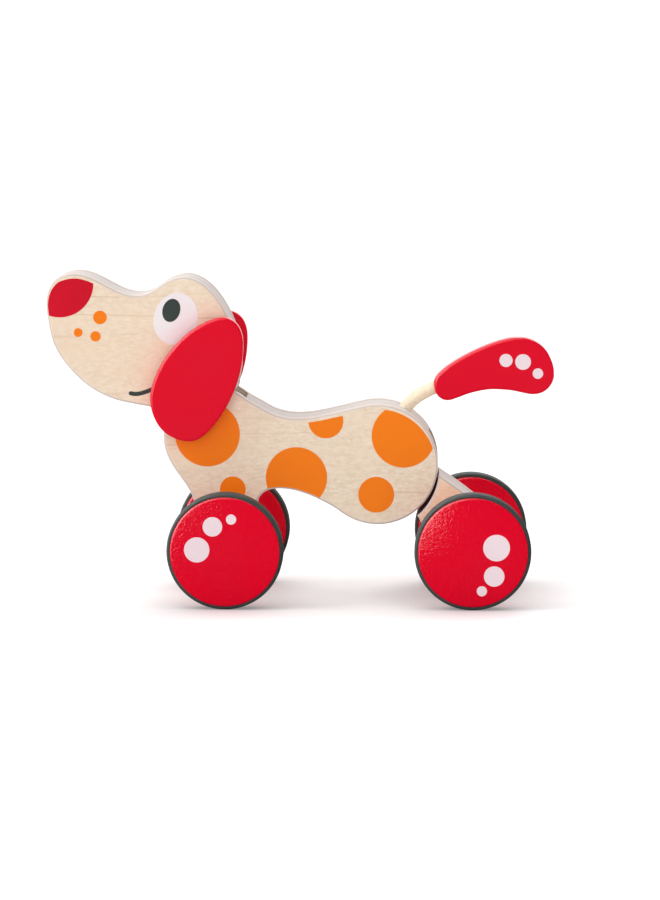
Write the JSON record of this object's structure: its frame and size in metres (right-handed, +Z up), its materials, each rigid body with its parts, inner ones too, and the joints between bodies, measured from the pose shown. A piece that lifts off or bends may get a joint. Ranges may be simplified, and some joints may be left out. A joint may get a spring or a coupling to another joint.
{
  "type": "wooden pull-along toy dog",
  "caption": "Wooden dog on red rubber-tyred wheels with a tilting head, swinging ears, a hinged rear leg and a red paddle tail, pulled or pushed along the floor.",
  "frame": {"origin": "on the floor under the middle of the toy's bounding box", "axes": "+X towards the tail, so the nose points along -X; +Y to the dog's right; +Z up"},
  "size_m": [0.2313, 0.092, 0.1495],
  "materials": {
    "face_wood": "clear satin lacquer on pale maple-faced board",
    "core_wood": "clear satin lacquer on pale plywood",
    "dowel_wood": "bare beech dowel, smooth",
    "red_paint": "glossy red paint on wood",
    "black_rubber": "matt black rubber"
  },
  "bodies": {
    "body": {"body_plate_left": "face_wood", "body_plate_right": "face_wood", "body_core": "core_wood", "neck_pin": "dowel_wood", "hip_pin": "dowel_wood", "tail_rod": "dowel_wood", "tail_paddle": "red_paint"},
    "head": {"head_board_left": "face_wood", "head_board_right": "face_wood", "head_core": "core_wood"},
    "ears": {"ear_left": "red_paint", "ear_right": "red_paint", "ear_dowel": "dowel_wood", "ear_washer_left": "dowel_wood", "ear_washer_right": "dowel_wood"},
    "rear_leg": {"leg_board_left": "face_wood", "leg_board_right": "face_wood", "leg_core": "core_wood"},
    "front_wheels": {"front_axle": "dowel_wood", "front_wheel_left": "red_paint", "front_wheel_right": "red_paint", "front_tyre_left": "black_rubber", "front_tyre_right": "black_rubber", "front_spacer_left": "dowel_wood", "front_spacer_right": "dowel_wood"},
    "rear_wheels": {"rear_axle": "dowel_wood", "rear_wheel_left": "red_paint", "rear_wheel_right": "red_paint", "rear_tyre_left": "black_rubber", "rear_tyre_right": "black_rubber", "rear_spacer_left": "dowel_wood", "rear_spacer_right": "dowel_wood"}
  },
  "joints": [
    {"name": "neck_tilt", "type": "hinge", "parent": "body", "child": "head", "pos_m": [-0.0399, 0, 0.0753], "axis": [0, 1, 0], "range_deg": [-15, 20]},
    {"name": "ear_swing", "type": "hinge", "parent": "head", "child": "ears", "pos_m": [-0.039, 0, 0.1183], "axis": [0, 1, 0], "range_deg": [-35, 35]},
    {"name": "hip_fold", "type": "hinge", "parent": "body", "child": "rear_leg", "pos_m": [0.035, 0, 0.0627], "axis": [0, 1, 0], "range_deg": [-40, 25]},
    {"name": "front_wheel_spin", "type": "hinge", "parent": "body", "child": "front_wheels", "pos_m": [-0.0334, 0, 0.0263], "axis": [0, 1, 0], "continuous": true},
    {"name": "rear_wheel_spin", "type": "hinge", "parent": "rear_leg", "child": "rear_wheels", "pos_m": [0.0782, 0, 0.0263], "axis": [0, 1, 0], "continuous": true}
  ]
}
